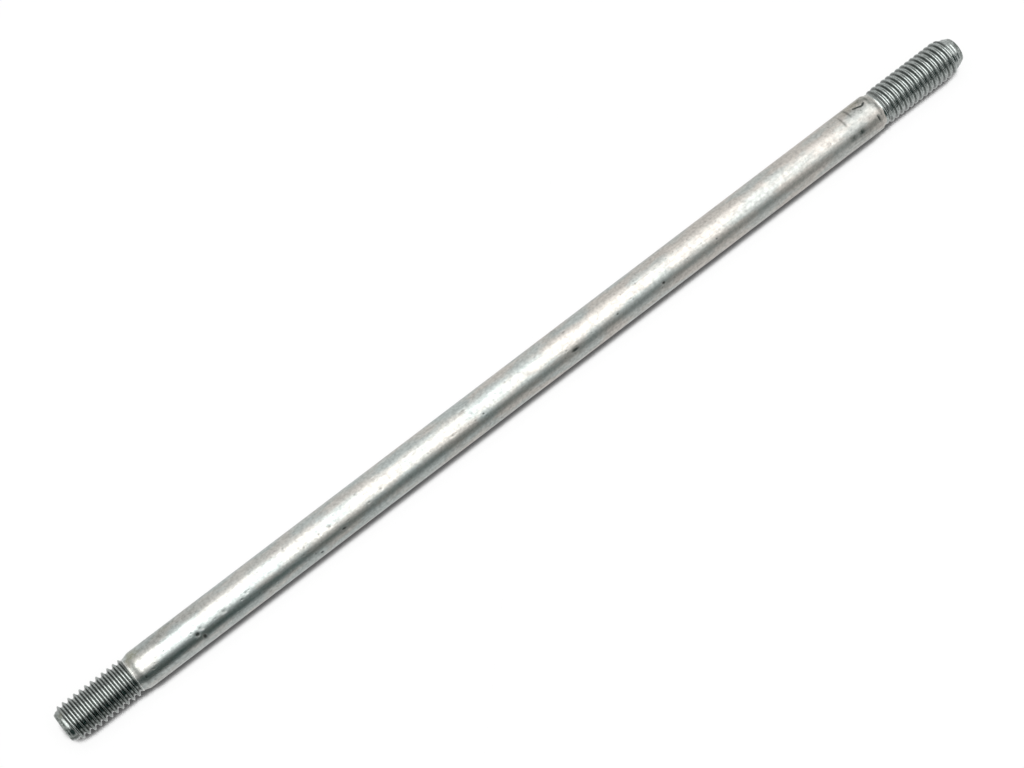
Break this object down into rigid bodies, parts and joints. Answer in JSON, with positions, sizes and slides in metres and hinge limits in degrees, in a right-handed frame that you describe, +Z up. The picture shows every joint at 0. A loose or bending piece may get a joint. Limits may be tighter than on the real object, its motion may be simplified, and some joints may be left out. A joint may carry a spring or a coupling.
{
  "type": "stud bolt",
  "caption": "Long steel stud with a plain shank, coned shoulders and a rolled M8 thread on each end, one end shorter than the other.",
  "frame": {"origin": "middle of the stud's length, on the line along its underside, so the stud lies on z = 0", "axes": "+X along the stud towards the long thread, -X towards the short thread, +Z up; the stud's axis runs along X at z = 3.925 mm"},
  "size_m": [0.217, 0.0078, 0.0078],
  "materials": {
    "zinc_steel": "bright zinc plating over rolled and drawn steel, satin, with faint drawing lines, pits and rubbed spots"
  },
  "bodies": {
    "root": {"stud": "zinc_steel"}
  },
  "joints": []
}
